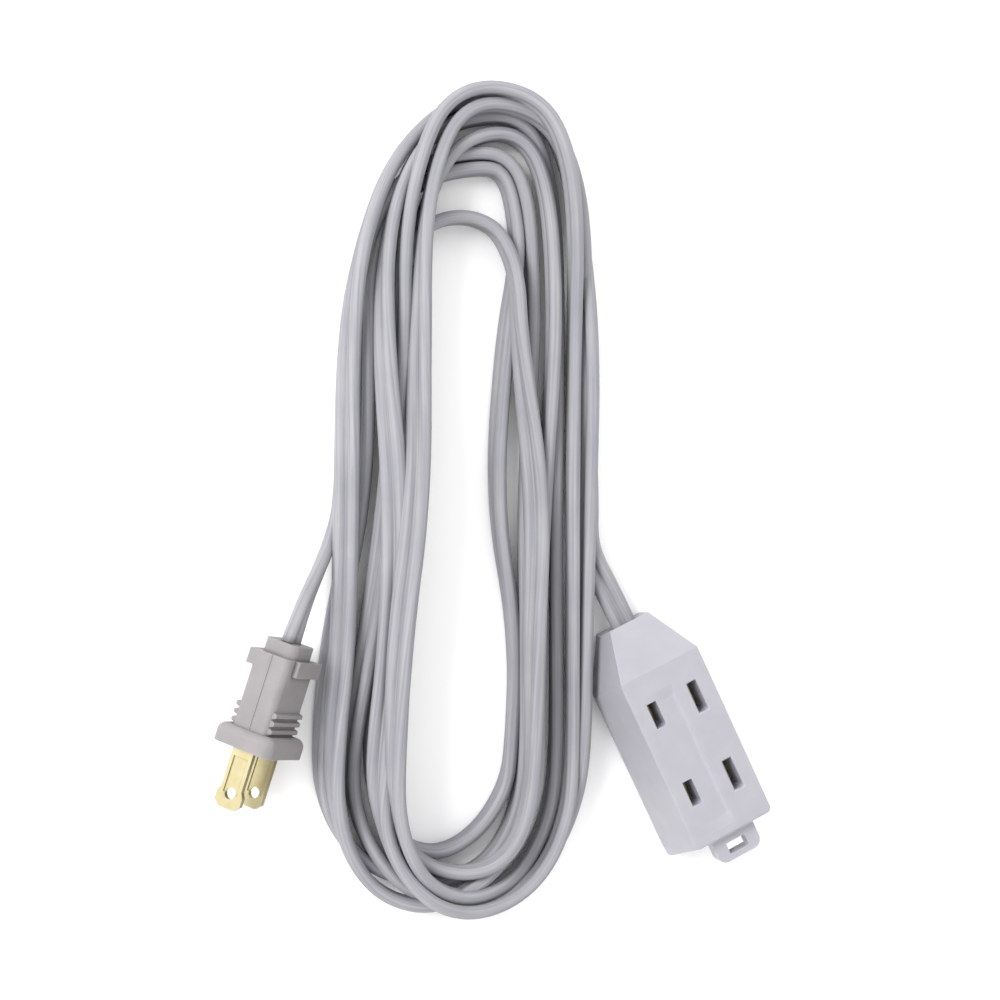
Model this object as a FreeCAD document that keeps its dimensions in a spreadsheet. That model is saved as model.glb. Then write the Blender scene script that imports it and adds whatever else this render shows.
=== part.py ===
import FreeCAD, Part
import math
import os
import Sketcher

# A flat household extension cord: a two-blade plug, a coiled flat cord and a three-outlet
# connector that lies on its flat back. Millimetres and degrees.
# The row's origin is the centre of the connector's back face, with the coil's long axis along Y.

SIZES = {
    # connector, in its own frame: X across it, Y towards its neck, Z out of its face
    "connector_turn": 25.6,
    "connector_height": 22.0,
    "seam_height": 6.0,
    "face_width": 24.2,
    "seam_width": 32.6,
    "back_width": 30.4,
    "face_neck_width": 7.2,
    "seam_neck_width": 15.6,
    "back_neck_width": 13.6,
    "face_neck_end": 33.4,
    "seam_neck_end": 30.4,
    "back_neck_end": 30.4,
    "face_shoulder": 18.7,
    "seam_shoulder": 15.5,
    "back_shoulder": 16.5,
    "face_foot": 32.0,
    "seam_foot": 34.5,
    "back_foot": 33.2,
    "slope_end": 34.4,
    "slope_drop": 11.5,
    "shell_wall": 2.2,
    "face_wall": 4.5,
    "back_wall": 2.0,
    "neck_wall": 3.4,
    "cavity_foot": 31.0,
    "cavity_top": 20.5,
    "cavity_top_width": 21.0,
    "neck_cavity_start": 14.0,
    "neck_cavity_width": 14.0,
    "neck_cavity_height": 5.0,
    "cord_gap": 0.1,
    "edge_radius": 0.8,
    "back_chamfer": 0.6,
    "corner_radius": 1.6,
    # outlets
    "slot_pitch": 12.7,
    "slot_width": 2.9,
    "neutral_slot": 8.9,
    "hot_slot": 7.3,
    "slot_stagger": 0.35,
    "outlet_middle": -5.3,
    "outlet_spacing": 23.8,
    "slot_chamfer": 0.35,
    "guide_wall": 1.2,
    "guide_depth": 5.0,
    "ramp_start": -10.6,
    "ramp_end": 0.6,
    "ramp_step": 0.9,
    "ramp_depth": 0.7,
    "ramp_top": 12.8,
    "ramp_foot": 29.4,
    "ramp_fade": 3.0,
    "ramp_fade_depth": 0.03,
    # hang tab
    "tab_base": 14.3,
    "tab_width": 13.4,
    "tab_end": 40.0,
    "tab_root": 31.8,
    "tab_thickness": 4.4,
    "tab_radius": 2.6,
    "tab_hole_width": 6.0,
    "tab_hole_height": 3.2,
    "tab_hole_middle": 36.6,
    # brass contact strips
    "contact_sheet": 0.6,
    "contact_gap": 1.8,
    "contact_span": 9.6,
    "contact_foot": 24.0,
    "contact_head": 14.5,
    "contact_height": 10.0,
    # flat cord
    "cord_width": 7.2,
    "cord_thickness": 3.6,
    "lead_pitch": 3.6,
    "lead_diameter": 3.3,
    "copper_diameter": 1.3,
    "coil_height": 18.0,
    "plug_first_run": 9.5,
    "connector_first_run": 13.0,
    "jacket_start": 0.06,
    "jacket_end": 0.8,
    # plug, in its own frame: Y out along the blades, X from blade to blade
    "plug_heading": 16.9,
    "plug_dip": 5.2,
    "plug_roll": 37.5,
    "plug_axis_height": 12.2,
    "flange_width": 19.6,
    "flange_depth": 17.9,
    "flange_length": 5.3,
    "flange_radius": 2.5,
    "flange_round": 2.4,
    "body_width": 15.6,
    "body_depth": 11.0,
    "body_length": 20.6,
    "body_radius": 1.8,
    "rim_length": 4.2,
    "rim_proud": 1.4,
    "rim_setback": 3.4,
    "collar_width": 10.8,
    "collar_depth": 10.1,
    "collar_length": 3.7,
    "collar_radius": 2.2,
    "ridge_width": 0.3,
    "ridge_height": 0.15,
    "rib_count": 3,
    "rib_pitch": 2.15,
    "rib_start": 0.5,
    "rib_foot": 1.6,
    "rib_crest": 0.9,
    "rib_height": 0.8,
    "rib_width": 14.4,
    "blade_reach": 16.3,
    "blade_root": 9.0,
    "blade_thickness": 1.5,
    "blade_shaft": 6.35,
    "neutral_blade": 7.94,
    "flare_start": 10.9,
    "flare_end": 12.4,
    "blade_hole": 3.1,
    "blade_hole_reach": 12.2,
    "blade_bevel": 1.6,
    "coin_depth": 0.3,
    "coin_border": 1.0,
    "coin_start": 2.4,
    "carrier_width": 15.0,
    "carrier_depth": 9.0,
    "carrier_length": 4.0,
    "carrier_start": 1.0,
}

# Middle of the plug's flange face.
PLUG_PLACE = (-116.6, -3.7)

# Outer and inner outlines of the coil seen from above, anticlockwise from its right side.
COIL_OUTER = [(-21, 62), (-20.5, 105), (-23, 145), (-33, 170), (-49.5, 177.5), (-66, 171),
              (-82, 149), (-92.5, 118), (-95, 70), (-95.8, 28), (-100, 3), (-99, -28),
              (-83, -45), (-58, -51.5), (-36, -42), (-25.4, -20), (-23.8, 8)]
COIL_INNER = [(-51.5, 62), (-46.5, 20), (-48, -12), (-58, -31), (-71, -31), (-76, -8),
              (-75, 25), (-70, 75), (-69, 115), (-64, 139), (-54, 146), (-47, 131), (-51.5, 98)]

# Route of each uncoiled stretch after its first run, which follows its fitting's own axis:
# points down to the inside of the coil's edge.
PLUG_TAIL = [(-100.9, 43.6, 13.4), (-95.6, 53.0, 9.0)]
CONNECTOR_TAIL = [(-24.0, 48.6, 4.8)]

MM = FreeCAD.Vector
doc = FreeCAD.newDocument("extension_cord")
sheet = doc.addObject("Spreadsheet::Sheet", "dims")


def fill_sheet():
    """Puts every driving dimension in a cell of its own, with its name as the alias."""
    for row, (name, value) in enumerate(SIZES.items(), start=1):
        sheet.set("A%d" % row, name)
        sheet.set("B%d" % row, str(value))
        sheet.setAlias("B%d" % row, name)
    doc.recompute()


def size(expression):
    """The number that an expression on the sheet comes to."""
    return float(sheet.evalExpression(str(expression)))


def connector_frame():
    turn = FreeCAD.Rotation(MM(0, 0, 1), size("dims.connector_turn"))
    return FreeCAD.Placement(MM(0, 0, 0), turn)


def plug_frame():
    """Blades point down the row's Y, turned by the heading and dipped; the body is rolled over."""
    heading = math.radians(size("dims.plug_heading"))
    dip = math.radians(size("dims.plug_dip"))
    roll = math.radians(size("dims.plug_roll"))
    level = MM(-math.sin(heading), -math.cos(heading), 0)
    out = level * math.cos(dip) - MM(0, 0, math.sin(dip))
    left = MM(-math.cos(heading), math.sin(heading), 0)
    across = left * math.sin(roll) + left.cross(out) * math.cos(roll)
    turn = FreeCAD.Rotation(across, out, across.cross(out), "XYZ")
    return FreeCAD.Placement(MM(*PLUG_PLACE, size("dims.plug_axis_height")), turn)


# ---- sketches and features ----

def new_body(name, frame):
    body = doc.addObject("PartDesign::Body", name)
    body.Label = name
    body.Placement = frame
    return body


def new_sketch(body, name, plane_role, offset="0"):
    """A sketch on one of the body's origin planes, lifted along that plane's normal."""
    planes = [item for item in body.Origin.OriginFeatures if item.Role == plane_role]
    sketch = body.newObject("Sketcher::SketchObject", name)
    sketch.AttachmentSupport = (planes[0], [""])
    sketch.MapMode = "FlatFace"
    sketch.setExpression("AttachmentOffset.Base.z", offset)
    return sketch


def bound_polygon(sketch, corners):
    """A closed polygon whose corners are pairs of expressions from the sketch's origin."""
    points = [MM(size(x), size(y), 0) for x, y in corners]
    first = sketch.GeometryCount
    count = len(points)
    for i in range(count):
        sketch.addGeometry(Part.LineSegment(points[i], points[(i + 1) % count]))
    for i in range(count):
        following = first + (i + 1) % count
        sketch.addConstraint(Sketcher.Constraint("Coincident", first + i, 2, following, 1))
    for i, (x, y) in enumerate(corners):
        for kind, expression in (("DistanceX", x), ("DistanceY", y)):
            limit = Sketcher.Constraint(kind, -1, 1, first + i, 1, size(expression))
            index = sketch.addConstraint(limit)
            sketch.setExpression("Constraints[%d]" % index, expression)


def rectangle(middle_x, middle_y, width, height):
    """Corner expressions of a rectangle about a middle point."""
    signs = ((-1, -1), (1, -1), (1, 1), (-1, 1))
    return [("(%s) + (%d) * (%s) / 2" % (middle_x, sx, width),
             "(%s) + (%d) * (%s) / 2" % (middle_y, sy, height)) for sx, sy in signs]


def rounded_rectangle(sketch, width, height, radius):
    """A rectangle about the sketch's origin with four corner arcs, all bound to the sheet."""
    reach_x = "((%s) / 2 - (%s))" % (width, radius)
    reach_y = "((%s) / 2 - (%s))" % (height, radius)
    half_x = "(%s) / 2" % width
    half_y = "(%s) / 2" % height
    corners = ((1, -1), (1, 1), (-1, 1), (-1, -1))
    points = []
    for number, (sx, sy) in enumerate(corners):
        on_level = ("(%d) * %s" % (sx, reach_x), "(%d) * %s" % (sy, half_y))
        on_side = ("(%d) * %s" % (sx, half_x), "(%d) * %s" % (sy, reach_y))
        ends = (on_level, on_side) if number % 2 == 0 else (on_side, on_level)
        points.append([(MM(size(x), size(y), 0), x, y) for x, y in ends])
    for number, (sx, sy) in enumerate(corners):
        centre = MM(sx * size(reach_x), sy * size(reach_y), 0)
        circle = Part.Circle(centre, MM(0, 0, 1), size(radius))
        first_angle = (number - 1) * math.pi / 2
        sketch.addGeometry(Part.ArcOfCircle(circle, first_angle, first_angle + math.pi / 2))
        following = points[(number + 1) % 4][0][0]
        sketch.addGeometry(Part.LineSegment(points[number][1][0], following))
    for number in range(4):
        arc, line = 2 * number, 2 * number + 1
        sketch.addConstraint(Sketcher.Constraint("Coincident", arc, 2, line, 1))
        sketch.addConstraint(Sketcher.Constraint("Coincident", line, 2, (line + 1) % 8, 1))
        index = sketch.addConstraint(Sketcher.Constraint("Radius", arc, size(radius)))
        sketch.setExpression("Constraints[%d]" % index, radius)
        for end, (point, x, y) in zip((1, 2), points[number]):
            for kind, value in (("DistanceX", x), ("DistanceY", y)):
                limit = Sketcher.Constraint(kind, -1, 1, arc, end, size(value))
                index = sketch.addConstraint(limit)
                sketch.setExpression("Constraints[%d]" % index, value)


def bound_circle(sketch, middle_x, middle_y, diameter):
    centre = MM(size(middle_x), size(middle_y), 0)
    circle = sketch.addGeometry(Part.Circle(centre, MM(0, 0, 1), size(diameter) / 2))
    for kind, value in (("DistanceX", middle_x), ("DistanceY", middle_y)):
        index = sketch.addConstraint(Sketcher.Constraint(kind, -1, 1, circle, 3, size(value)))
        sketch.setExpression("Constraints[%d]" % index, value)
    index = sketch.addConstraint(Sketcher.Constraint("Diameter", circle, size(diameter)))
    sketch.setExpression("Constraints[%d]" % index, diameter)


def loft(body, name, low, high):
    feature = body.newObject("PartDesign::AdditiveLoft", name)
    feature.Profile = low
    feature.Sections = [high]
    doc.recompute()
    return feature


def pad(body, name, sketch, length, reverse=False):
    feature = body.newObject("PartDesign::Pad", name)
    feature.Profile = sketch
    feature.setExpression("Length", length)
    feature.Reversed = reverse
    doc.recompute()
    return feature


def pocket(body, name, sketch, length, reverse=False):
    """A pocket that must take material away: one that cuts nothing stops the build."""
    before = body.Shape.Volume
    feature = body.newObject("PartDesign::Pocket", name)
    feature.Profile = sketch
    feature.setExpression("Length", length)
    feature.Reversed = reverse
    doc.recompute()
    if body.Shape.Volume > before - 0.01:
        raise RuntimeError(name + " cuts nothing")
    return feature


def edges_where(body, test):
    """Names of the tip's edges whose middle and direction pass a test in the body's frame."""
    names = []
    for number, edge in enumerate(body.Tip.Shape.Edges, start=1):
        if len(edge.Vertexes) < 2:
            continue
        start, end = edge.Vertexes[0].Point, edge.Vertexes[-1].Point
        if test((start + end) / 2, end - start):
            names.append("Edge%d" % number)
    return names


def round_edges(body, name, test, radius, kind="PartDesign::Fillet"):
    names = edges_where(body, test)
    if not names:
        raise RuntimeError(name + " finds no edges")
    base = body.Tip
    feature = body.newObject(kind, name)
    feature.Base = (base, names)
    feature.setExpression("Radius" if kind.endswith("Fillet") else "Size", radius)
    doc.recompute()
    if "Invalid" in feature.State or "Error" in feature.State:
        raise RuntimeError("%s fails on %s" % (name, names))
    return feature


def solid_box(name, lengths, middle, frame):
    """A Part::Box with its sides bound to the sheet and its middle placed in a frame."""
    box = doc.addObject("Part::Box", name)
    for side, expression in zip(("Length", "Width", "Height"), lengths):
        box.setExpression(side, expression)
    near = MM(*(size(m) - size(side) / 2 for m, side in zip(middle, lengths)))
    box.Placement = frame * FreeCAD.Placement(near, FreeCAD.Rotation())
    return box


def rod(name, start, end, diameter, frame):
    """A Part::Cylinder between two points of a frame, its diameter bound to the sheet."""
    run = end - start
    cylinder = doc.addObject("Part::Cylinder", name)
    cylinder.setExpression("Radius", "(%s) / 2" % diameter)
    cylinder.Height = run.Length
    turn = FreeCAD.Rotation(MM(0, 0, 1), run)
    cylinder.Placement = frame * FreeCAD.Placement(start, turn)
    return cylinder


def fuse(name, pieces):
    joined = doc.addObject("Part::MultiFuse", name)
    joined.Shapes = pieces
    joined.Refine = True
    joined.Label = name
    return joined


def cut(name, base, tool):
    result = doc.addObject("Part::Cut", name)
    result.Base = base
    result.Tool = tool
    result.Label = name
    return result


# ---- connector ----

def connector_outline(level):
    """The six-sided outline of the connector at its face, seam or back."""
    half = "dims.%s_width / 2" % level
    neck = "dims.%s_neck_width / 2" % level
    foot = "-dims.%s_foot" % level
    shoulder = "dims.%s_shoulder" % level
    right = [(half, foot), (half, shoulder), (neck, "dims.%s_neck_end" % level)]
    left = [("-" + x, y) for x, y in reversed(right)]
    return right + left


def outlet_rows():
    spacing = "dims.outlet_spacing / 2"
    return ["dims.outlet_middle + " + spacing, "dims.outlet_middle - " + spacing]


def draw_slots(sketch, rows, margin="0"):
    """Two blade slots at each row, level at their neck ends; the long neutral one is on +X."""
    for row in rows:
        for side, length in ((1, "dims.neutral_slot"), (-1, "dims.hot_slot")):
            across = "(%d) * dims.slot_pitch / 2" % side
            middle = "%s - (%d) * dims.slot_stagger" % (row, side)
            width = "dims.slot_width + 2 * " + margin
            bound_polygon(sketch, rectangle(across, middle, width, length + " + 2 * " + margin))


def ramp_section(body, name, offset, depth):
    """The recess across the face: a long ramp down to a short step."""
    section = new_sketch(body, name, "XZ_Plane", offset)
    top = "dims.connector_height"
    step_top = "dims.ramp_end + dims.ramp_step"
    corners = [("dims.ramp_start", top), ("dims.ramp_end", top + " - dims." + depth),
               (step_top, top), (step_top, top + " + 1"), ("dims.ramp_start", top + " + 1")]
    bound_polygon(section, corners)
    return section


def cut_ramp(body):
    """The recess, which fades out at both of its ends."""
    stations = [("-dims.ramp_top", "ramp_fade_depth"),
                ("dims.ramp_fade - dims.ramp_top", "ramp_depth"),
                ("dims.ramp_foot - dims.ramp_fade", "ramp_depth"),
                ("dims.ramp_foot", "ramp_fade_depth")]
    sections = [ramp_section(body, "ramp_%d" % number, offset, depth)
                for number, (offset, depth) in enumerate(stations)]
    recess = body.newObject("PartDesign::SubtractiveLoft", "ramp_cut")
    recess.Profile = sections[0]
    recess.Sections = sections[1:]
    recess.Ruled = True
    doc.recompute()


def cavity_outline(width):
    half = "%s / 2" % width
    neck = "dims.neck_cavity_width / 2"
    right = [(half, "-dims.cavity_foot"), (half, "dims.neck_cavity_start"),
             (neck, "dims.cavity_top")]
    left = [("-" + x, y) for x, y in reversed(right)]
    return right + left


def neck_outline():
    """The narrow end of the cavity, where the leads fan out from the cord."""
    half = "dims.neck_cavity_width / 2"
    top = "dims.seam_neck_end - dims.neck_wall"
    start = "dims.neck_cavity_start"
    return [("-" + half, start), (half, start), (half, top), ("-" + half, top)]


def cord_passage(body, name):
    """The hole through the neck, half in each shell, that grips the cord."""
    passage = new_sketch(body, name, "XZ_Plane", "-dims.seam_neck_end - 2")
    passage_corners = rectangle("0", "dims.seam_height", "dims.cord_width + 2 * dims.cord_gap",
                                "dims.cord_thickness + 2 * dims.cord_gap")
    bound_polygon(passage, passage_corners)
    pocket(body, name + "_cut", passage, "dims.neck_wall + 2.5", reverse=True)


def is_upright_foot_corner(middle, run):
    return middle.y < -30 and abs(run.z) > 5 and abs(middle.x) > 11


def connector_front_shell(frame):
    """The deep shell with two outlets, a ramped recess beside them and the hang tab."""
    body = new_body("connector_front_shell", frame)
    seam = new_sketch(body, "front_seam", "XY_Plane", "dims.seam_height")
    bound_polygon(seam, connector_outline("seam"))
    face = new_sketch(body, "front_face", "XY_Plane", "dims.connector_height")
    bound_polygon(face, connector_outline("face"))
    loft(body, "front_block", seam, face)

    slope = new_sketch(body, "neck_slope", "YZ_Plane", "-dims.seam_width / 2")
    top = "dims.connector_height"
    slope_corners = [("dims.face_shoulder", top), ("dims.slope_end", top + " + 1"),
                     ("dims.slope_end", top + " - dims.slope_drop")]
    bound_polygon(slope, slope_corners)
    pocket(body, "neck_slope_cut", slope, "dims.seam_width", reverse=True)
    round_edges(body, "foot_corners", is_upright_foot_corner, "dims.corner_radius")
    high = size("dims.connector_height")

    def on_face_rim(middle, run):
        along = abs(run.y) > 20 and abs(middle.x) > 11
        across = abs(run.x) > 15 and middle.y < -30
        return middle.z > high - 0.01 and (along or across)

    round_edges(body, "face_rim", on_face_rim, "dims.edge_radius")

    low = new_sketch(body, "cavity_seam", "XY_Plane", "dims.seam_height")
    bound_polygon(low, cavity_outline("(dims.seam_width - 2 * dims.shell_wall)"))
    roof = new_sketch(body, "cavity_roof", "XY_Plane", "dims.connector_height - dims.face_wall")
    bound_polygon(roof, cavity_outline("dims.cavity_top_width"))
    cavity = body.newObject("PartDesign::SubtractiveLoft", "front_cavity")
    cavity.Profile = low
    cavity.Sections = [roof]
    doc.recompute()
    neck = new_sketch(body, "front_neck", "XY_Plane", "dims.seam_height")
    bound_polygon(neck, neck_outline())
    pocket(body, "front_neck_cut", neck, "dims.neck_cavity_height", reverse=True)

    guides = new_sketch(body, "slot_guides", "XY_Plane",
                        "dims.connector_height - dims.face_wall - dims.guide_depth")
    draw_slots(guides, outlet_rows(), "dims.guide_wall")
    pad(body, "slot_guide_walls", guides, "dims.guide_depth + 1")
    slots = new_sketch(body, "front_slots", "XY_Plane", "dims.connector_height")
    draw_slots(slots, outlet_rows())
    pocket(body, "front_slot_cut", slots, "dims.face_wall + dims.guide_depth + 0.5")

    def on_slot_mouth(middle, run):
        return middle.z > high - 0.01 and abs(middle.x) < 8.5 and run.Length < 10

    round_edges(body, "slot_mouths", on_slot_mouth, "dims.slot_chamfer", "PartDesign::Chamfer")

    cut_ramp(body)
    cord_passage(body, "front_passage")

    tab = new_sketch(body, "tab", "XY_Plane", "dims.tab_base")
    half_tab = "dims.tab_width / 2"
    tab_corners = [("-" + half_tab, "-dims.tab_end"), (half_tab, "-dims.tab_end"),
                   (half_tab, "-dims.tab_root"), ("-" + half_tab, "-dims.tab_root")]
    bound_polygon(tab, tab_corners)
    hole = rectangle("0", "-dims.tab_hole_middle", "dims.tab_hole_width",
                     "dims.tab_hole_height")
    bound_polygon(tab, hole)
    pad(body, "tab_pad", tab, "dims.tab_thickness")
    tab_end = size("dims.tab_end")

    def is_tab_corner(middle, run):
        return middle.y < 0.1 - tab_end and abs(run.z) > 1 and abs(middle.x) > 4

    round_edges(body, "tab_corners", is_tab_corner, "dims.tab_radius")
    return body


def connector_back_shell(frame):
    """The shallow shell whose flat back carries the third outlet."""
    body = new_body("connector_back_shell", frame)
    back = new_sketch(body, "back_face", "XY_Plane")
    bound_polygon(back, connector_outline("back"))
    seam = new_sketch(body, "back_seam", "XY_Plane", "dims.seam_height")
    bound_polygon(seam, connector_outline("seam"))
    loft(body, "back_block", seam, back)
    round_edges(body, "back_foot_corners", is_upright_foot_corner, "dims.corner_radius")

    def on_back_rim(middle, run):
        return middle.z < 0.01

    round_edges(body, "back_rim", on_back_rim, "dims.back_chamfer", "PartDesign::Chamfer")

    cavity = new_sketch(body, "back_cavity", "XY_Plane", "dims.seam_height")
    bound_polygon(cavity, cavity_outline("(dims.back_width - 2 * dims.shell_wall)"))
    pocket(body, "back_cavity_cut", cavity, "dims.seam_height - dims.back_wall")
    neck = new_sketch(body, "back_neck", "XY_Plane", "dims.seam_height")
    bound_polygon(neck, neck_outline())
    pocket(body, "back_neck_cut", neck, "dims.seam_height - dims.back_wall")
    slots = new_sketch(body, "back_slots", "XY_Plane", "dims.back_wall + 1")
    draw_slots(slots, ["dims.outlet_middle"])
    pocket(body, "back_slot_cut", slots, "dims.back_wall + 2")
    cord_passage(body, "back_passage")
    return body


def contact_strip(pole, side, frame):
    """One pole's brass strip: a standing sheet with three U-shaped clips bent inwards."""
    pitch = size("dims.slot_pitch") / 2
    sheet_offset = (size("dims.contact_gap") + size("dims.contact_sheet")) / 2
    tall = "dims.contact_height"
    thin = "dims.contact_sheet"
    level = size("dims.back_wall") + size(tall) / 2
    middle_y = (size("dims.contact_head") - size("dims.contact_foot")) / 2
    length = "dims.contact_head + dims.contact_foot"
    spine = solid_box(pole + "_spine", (thin, length, tall),
                      (side * (pitch + sheet_offset), middle_y, level), frame)
    pieces = [spine]
    rows = [size(row) for row in outlet_rows()] + [size("dims.outlet_middle")]
    span = "dims.contact_span"
    for number, row in enumerate(rows, start=1):
        leaf = solid_box("%s_leaf_%d" % (pole, number), (thin, span, tall),
                         (side * (pitch - sheet_offset), row, level), frame)
        bend_y = row - size(span) / 2 + size(thin) / 2
        bend = solid_box("%s_bend_%d" % (pole, number),
                         ("dims.contact_gap + 2 * dims.contact_sheet", thin, tall),
                         (side * pitch, bend_y, level), frame)
        pieces += [leaf, bend]
    return fuse(pole + "_contact_strip", pieces)


def lead_pair(prefix, start_y, end_points, level, frame):
    """Each conductor's insulation and copper, from the cord's end to its contact."""
    made = []
    for pole, side in (("neutral", 1), ("hot", -1)):
        start = MM(side * size("dims.lead_pitch") / 2, start_y, level)
        across, end_y = end_points
        end = MM(side * across, end_y, level)
        name = "%s_lead_copper_%s" % (prefix, pole)
        copper = rod(name, start, end, "dims.copper_diameter", frame)
        copper.Label = name
        first = start + (end - start) * size("dims.jacket_start")
        last = start + (end - start) * size("dims.jacket_end")
        jacket = rod("%s_%s_jacket" % (prefix, pole), first, last,
                     "dims.lead_diameter", frame)
        bore = rod("%s_%s_bore" % (prefix, pole), first, last,
                   "dims.copper_diameter", frame)
        made += [copper, cut("%s_lead_insulation_%s" % (prefix, pole), jacket, bore)]
    return made


def connector_leads(frame):
    pitch = size("dims.slot_pitch") / 2
    reach = pitch + size("dims.contact_gap") / 2
    start_y = size("dims.seam_neck_end - dims.neck_wall")
    end_y = size("dims.contact_head")
    return lead_pair("connector", start_y, (reach, end_y), size("dims.seam_height"), frame)


# ---- plug ----

def rounded_block(body, name, width, depth, start, length, radius):
    """A block about the plug's axis with its four long edges rounded."""
    sketch = new_sketch(body, name + "_section", "XZ_Plane", start)
    rounded_rectangle(sketch, width, depth, radius)
    return pad(body, name, sketch, length)


def draw_ribs(sketch):
    """The first rib on each wide face: a low trapezoid that stands on the grip."""
    start = "dims.flange_length + dims.rib_start"
    slope = "(dims.rib_foot - dims.rib_crest) / 2"
    for side in (1, -1):
        inside = "(%d) * (dims.body_depth / 2 - 1)" % side
        foot = "(%d) * dims.body_depth / 2" % side
        crest = "(%d) * (dims.body_depth / 2 + dims.rib_height)" % side
        near, far = "-(%s)" % start, "-(%s + dims.rib_foot)" % start
        crest_near, crest_far = "%s - %s" % (near, slope), "%s + %s" % (far, slope)
        bound_polygon(sketch, [(near, inside), (near, foot), (crest_near, crest),
                               (crest_far, crest), (far, foot), (far, inside)])


def draw_rims(sketch):
    """The band on each wide face, short of one corner and level with the other."""
    for side in (1, -1):
        full = "(%d) * -dims.body_width / 2" % side
        short = "(%d) * (dims.body_width / 2 - dims.rim_setback)" % side
        inside = "(%d) * (dims.body_depth / 2 - 3)" % side
        proud = "(%d) * (dims.body_depth / 2 + dims.rim_proud)" % side
        bound_polygon(sketch, [(full, inside), (short, inside), (short, proud), (full, proud)])


def plug_moulding(frame):
    """Flange, ribbed grip, rim and collar as one moulding, before it is hollowed."""
    body = new_body("plug_moulding", frame)
    rounded_block(body, "flange", "dims.flange_width", "dims.flange_depth", "0",
                  "dims.flange_length", "dims.flange_radius")
    back = -size("dims.flange_length")

    def on_flange_back(middle, run):
        return abs(middle.y - back) < 0.01

    round_edges(body, "flange_round", on_flange_back, "dims.flange_round")
    rounded_block(body, "grip", "dims.body_width", "dims.body_depth",
                  "dims.flange_length - 1", "dims.body_length + 1", "dims.body_radius")
    ridge = new_sketch(body, "parting_ridge", "XZ_Plane", "dims.flange_length - 1")
    ridge_width = "dims.body_width + 2 * dims.ridge_height"
    bound_polygon(ridge, rectangle("0", "0", ridge_width, "dims.ridge_width"))
    pad(body, "parting_ridge_pad", ridge, "dims.body_length + 1")
    rim_start = "dims.flange_length + dims.body_length - dims.rim_length"
    rims = new_sketch(body, "rim_section", "XZ_Plane", rim_start)
    draw_rims(rims)
    pad(body, "rims", rims, "dims.rim_length")
    collar_start = "dims.flange_length + dims.body_length - 0.5"
    rounded_block(body, "collar", "dims.collar_width", "dims.collar_depth", collar_start,
                  "dims.collar_length + 0.5", "dims.collar_radius")
    ribs = new_sketch(body, "rib_section", "YZ_Plane", "-dims.rib_width / 2")
    draw_ribs(ribs)
    first_ribs = pad(body, "rib", ribs, "dims.rib_width")
    before = body.Shape.Volume
    pattern = body.newObject("PartDesign::LinearPattern", "ribs")
    pattern.Originals = [first_ribs]
    pattern.Direction = (ribs, ["H_Axis"])
    pattern.Reversed = True
    pattern.setExpression("Length", "dims.rib_pitch * (dims.rib_count - 1)")
    pattern.Occurrences = int(size("dims.rib_count"))
    body.Tip = pattern
    doc.recompute()
    if body.Shape.Volume < before + 1:
        raise RuntimeError("the rib pattern adds nothing")
    return body


def plug_blade(pole, side, frame):
    """A flat blade with a round hole, a coined panel and a bevelled tip, flared if neutral."""
    body = new_body("plug_blade_" + pole, frame)
    middle_x = "(%d) * dims.slot_pitch / 2" % side
    start_x = "%s - dims.blade_thickness / 2" % middle_x
    outline = new_sketch(body, pole + "_blade_outline", "YZ_Plane", start_x)
    reach, root, bevel = "dims.blade_reach", "-dims.blade_root", "dims.blade_bevel"
    shaft = "dims.blade_shaft / 2"
    half, flare = shaft, []
    if pole == "neutral":
        half = "dims.neutral_blade / 2"
        flare = [("dims.flare_start", shaft), ("dims.flare_end", half)]
    upper = [(root, shaft)] + flare + [("%s - %s" % (reach, bevel), half),
                                       (reach, "%s - %s" % (half, bevel))]
    lower = [(x, "-(%s)" % y) for x, y in upper]
    bound_polygon(outline, lower + upper[::-1])
    bound_circle(outline, "dims.blade_hole_reach", "0", "dims.blade_hole")
    pad(body, pole + "_blade_sheet", outline, "dims.blade_thickness")
    for face, offset, turned in (("near", "-1", True), ("far", "1", False)):
        level = "%s + (%s) * dims.blade_thickness / 2" % (middle_x, offset)
        panel = new_sketch(body, "%s_%s_panel" % (pole, face), "YZ_Plane", level)
        length = "(dims.blade_hole_reach - dims.coin_start)"
        panel_middle = "dims.coin_start + %s / 2" % length
        bound_polygon(panel, rectangle(panel_middle, "0", length,
                                       "dims.blade_shaft - 2 * dims.coin_border"))
        pocket(body, "%s_%s_coin" % (pole, face), panel, "dims.coin_depth", turned)
    return body


def plug_carrier(frame, blades):
    """The inner bridge that holds both blades square while the plug is moulded."""
    lengths = ("dims.carrier_width", "dims.carrier_length", "dims.carrier_depth")
    middle = ("0", "-dims.carrier_start - dims.carrier_length / 2", "0")
    block = solid_box("carrier_block", lengths, middle, frame)
    return cut("plug_blade_carrier", block, blades)


def plug_leads(frame):
    reach = size("dims.slot_pitch") / 2
    cord_end = -size("dims.flange_length + dims.body_length + dims.collar_length")
    return lead_pair("plug", cord_end, (reach, -size("dims.blade_root")), 0.0, frame)


def plug(frame):
    """Every piece of the plug; the moulding is hollowed by exactly what it surrounds."""
    blades = [plug_blade("neutral", 1, frame), plug_blade("hot", -1, frame)]
    blade_group = fuse("blade_group", blades)
    carrier = plug_carrier(frame, blade_group)
    leads = plug_leads(frame)
    moulding = plug_moulding(frame)
    inside = fuse("plug_inside", [blade_group, carrier] + leads)
    shell = cut("plug_overmould", moulding, inside)
    return blades + [carrier] + leads + [shell]


# ---- cord ----

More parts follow.
